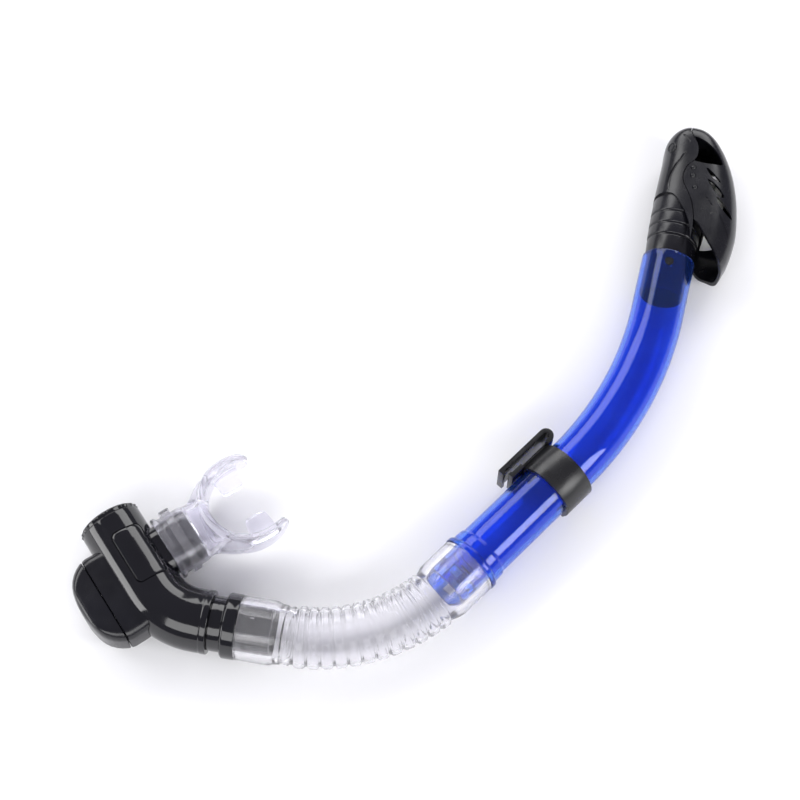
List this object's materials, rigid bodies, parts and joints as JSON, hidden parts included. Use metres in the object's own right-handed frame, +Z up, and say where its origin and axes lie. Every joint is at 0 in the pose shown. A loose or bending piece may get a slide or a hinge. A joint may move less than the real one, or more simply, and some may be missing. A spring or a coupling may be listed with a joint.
{
  "type": "dry-top snorkel",
  "caption": "Dry-top snorkel with a bent barrel tube, strap keeper, corrugated flexible hose, swivelling purge chamber and silicone bite mouthpiece.",
  "frame": {"origin": "on the surface the snorkel lies on, under the middle of its whole length and width", "axes": "+X runs along the straight part of the barrel tube towards the dry top, +Z is up out of the surface the snorkel lies on, +Y is the side the mouthpiece chamber curls to"},
  "size_m": [0.3768, 0.1454, 0.029],
  "materials": {
    "tube": "clear blue, polished",
    "gloss_black": "polished",
    "satin_black": "satin",
    "keeper": "satin",
    "clear_silicone": "clear, slightly milky",
    "seal_silicone": "soft",
    "float": "moulded",
    "o_ring": "matt",
    "pin": "drawn"
  },
  "bodies": {
    "barrel": {"barrel_tube": "tube", "dry_top_base": "satin_black", "dry_top_hood": "satin_black", "arm_pin": "pin", "tube_lock_pin": "satin_black", "hose": "clear_silicone"},
    "keeper": {"snorkel_keeper": "keeper"},
    "float_lever": {"float": "float", "float_arm": "float", "valve_seal": "seal_silicone"},
    "connector": {"swivel_connector": "gloss_black", "swivel_o_ring": "o_ring"},
    "chamber": {"chamber_body": "gloss_black", "end_cap": "gloss_black", "end_cap_o_ring": "o_ring", "cover_panel": "gloss_black", "purge_housing": "satin_black", "purge_seat": "satin_black", "purge_cover": "satin_black", "mouthpiece": "clear_silicone", "mouthpiece_tie": "clear_silicone"},
    "membrane": {"purge_membrane": "seal_silicone"}
  },
  "joints": [
    {"name": "hose_bend", "type": "hinge", "parent": "barrel", "child": "connector", "pos_m": [-0.10052, -0.04934, 0.0145], "axis": [0, 0, 1], "range_deg": [-30, 35], "stiffness_Nm_per_rad": 0.08, "deforming": ["hose"]},
    {"name": "chamber_swivel", "type": "hinge", "parent": "connector", "child": "chamber", "pos_m": [-0.1479, 0.00296, 0.0145], "axis": [-0.5736, 0.8192, 0], "continuous": true},
    {"name": "keeper_slide", "type": "slide", "parent": "barrel", "child": "keeper", "axis": [1, 0, 0], "range_m": [-0.03, 0.0005]},
    {"name": "float_swing", "type": "hinge", "parent": "barrel", "child": "float_lever", "pos_m": [0.17383, -0.00721, 0.0145], "axis": [0, 0, 1], "range_deg": [0, 12]},
    {"name": "purge_lift", "type": "slide", "parent": "chamber", "child": "membrane", "axis": [-0.9781, 0.2079, 0], "range_m": [0, 0.0015], "stiffness_N_per_m": 30}
  ]
}
